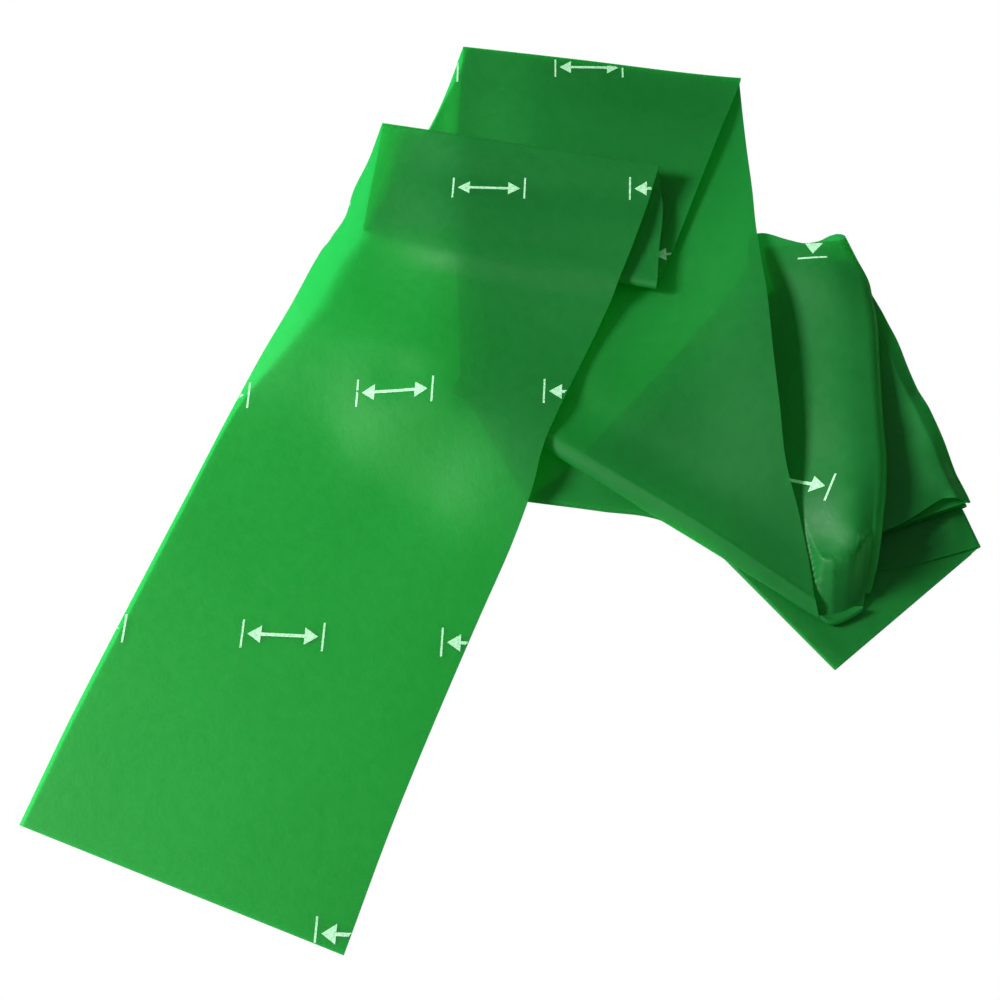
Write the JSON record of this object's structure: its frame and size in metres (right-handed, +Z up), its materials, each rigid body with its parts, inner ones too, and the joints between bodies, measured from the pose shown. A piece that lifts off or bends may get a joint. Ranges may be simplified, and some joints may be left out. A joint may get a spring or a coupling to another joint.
{
  "type": "flat resistance band",
  "caption": "Thin flat latex exercise band with a pale repeating print, lying loosely folded, with a long free flap that lifts and folds that open.",
  "frame": {"origin": "middle of the folded band's footprint, on the surface it lies on", "axes": "+Z up from the surface, +Y away from the free end along the folded band, +X towards the loose pile"},
  "size_m": [0.4301, 0.4935, 0.0289],
  "materials": {
    "latex": "satin, slightly powdery, translucent thin sheet",
    "ink": "thin matte print"
  },
  "bodies": {
    "lower_end": {"lower_end": "latex", "fold_loop_9": "latex", "end_return": "latex", "fold_loop_10": "latex"},
    "inner_run_1": {"inner_run_1": "latex", "fold_loop_8": "latex"},
    "inner_run_2": {"inner_run_2": "latex", "fold_loop_7": "latex"},
    "inner_run_3": {"inner_run_3": "latex", "fold_loop_6": "latex"},
    "inner_run_4": {"inner_run_4": "latex", "fold_loop_5": "latex"},
    "loose_run": {"loose_run": "latex", "pleat_return": "latex", "side_run": "latex", "side_roll": "latex", "side_inner_roll": "latex", "pleat_roll": "latex", "front_pleat": "latex", "front_roll": "latex", "print_loose_run": "ink"},
    "wide_run": {"wide_run": "latex", "fold_loop_3": "latex"},
    "upper_run": {"upper_run": "latex", "fold_loop_2": "latex", "print_upper_run": "ink"},
    "upper_return": {"upper_return": "latex", "fold_loop_1": "latex"},
    "flap_root": {"flap_root": "latex", "flap_root_bend": "latex", "print_flap_root": "ink"},
    "flap_middle": {"flap_middle": "latex", "flap_end_bend": "latex", "print_flap_middle": "ink"},
    "free_end": {"free_end": "latex", "print_free_end": "ink"}
  },
  "joints": [
    {"name": "fold_9_open", "type": "hinge", "parent": "lower_end", "child": "inner_run_1", "pos_m": [0.18929, 0.0138, 0.00197], "axis": [-0.3057, 0.9521, 0], "range_deg": [0, 20], "deforming": ["fold_loop_9"]},
    {"name": "fold_8_open", "type": "hinge", "parent": "inner_run_1", "child": "inner_run_2", "pos_m": [0.1396, 0.00578, 0.00387], "axis": [0.309, -0.9511, 0], "range_deg": [0, 20], "deforming": ["fold_loop_8"]},
    {"name": "fold_7_open", "type": "hinge", "parent": "inner_run_2", "child": "inner_run_3", "pos_m": [0.18707, 0.02343, 0.00637], "axis": [-0.309, 0.9511, 0], "range_deg": [0, 20], "deforming": ["fold_loop_7"]},
    {"name": "fold_6_open", "type": "hinge", "parent": "inner_run_3", "child": "inner_run_4", "pos_m": [0.13914, 0.00721, 0.00887], "axis": [0.309, -0.9511, 0], "range_deg": [0, 20], "deforming": ["fold_loop_6"]},
    {"name": "fold_5_open", "type": "hinge", "parent": "inner_run_4", "child": "loose_run", "pos_m": [0.18654, 0.0263, 0.01137], "axis": [-0.309, 0.9511, 0], "range_deg": [0, 45], "deforming": ["fold_loop_5"]},
    {"name": "front_roll_open", "type": "hinge", "parent": "loose_run", "child": "wide_run", "pos_m": [-0.04717, 0.03524, 0.02386], "axis": [0.7919, -0.6077, 0.0599], "range_deg": [0, 30], "deforming": ["front_roll"]},
    {"name": "fold_3_open", "type": "hinge", "parent": "wide_run", "child": "upper_run", "pos_m": [0.04564, 0.23452, 0.00909], "axis": [-0.9902, 0.1304, -0.0498], "range_deg": [0, 70], "deforming": ["fold_loop_3"]},
    {"name": "fold_2_open", "type": "hinge", "parent": "upper_run", "child": "upper_return", "pos_m": [-0.00426, 0.09131, 0.01707], "axis": [0.9775, -0.2042, 0.0522], "range_deg": [0, 70], "deforming": ["fold_loop_2"]},
    {"name": "fold_1_open", "type": "hinge", "parent": "upper_return", "child": "flap_root", "pos_m": [0.00089, 0.15992, 0.01906], "axis": [-0.9786, 0.1991, -0.052], "range_deg": [0, 150], "deforming": ["fold_loop_1"]},
    {"name": "flap_root_bend_open", "type": "hinge", "parent": "flap_root", "child": "flap_middle", "pos_m": [-0.04717, 0.03524, 0.02386], "axis": [-0.7919, 0.6077, -0.0599], "range_deg": [0, 30], "deforming": ["flap_root_bend"]},
    {"name": "free_end_lift", "type": "hinge", "parent": "flap_middle", "child": "free_end", "pos_m": [-0.07324, -0.03251, 0.00055], "axis": [-0.6818, 0.7316, 0], "range_deg": [0, 60], "deforming": ["flap_end_bend"]}
  ],
  "couplings": [
    {"joint": "fold_8_open", "follows": "fold_9_open", "ratio": 1},
    {"joint": "fold_7_open", "follows": "fold_9_open", "ratio": 1},
    {"joint": "fold_6_open", "follows": "fold_9_open", "ratio": 1},
    {"joint": "flap_root_bend_open", "follows": "front_roll_open", "ratio": 1},
    {"joint": "fold_2_open", "follows": "fold_3_open", "ratio": 1}
  ]
}
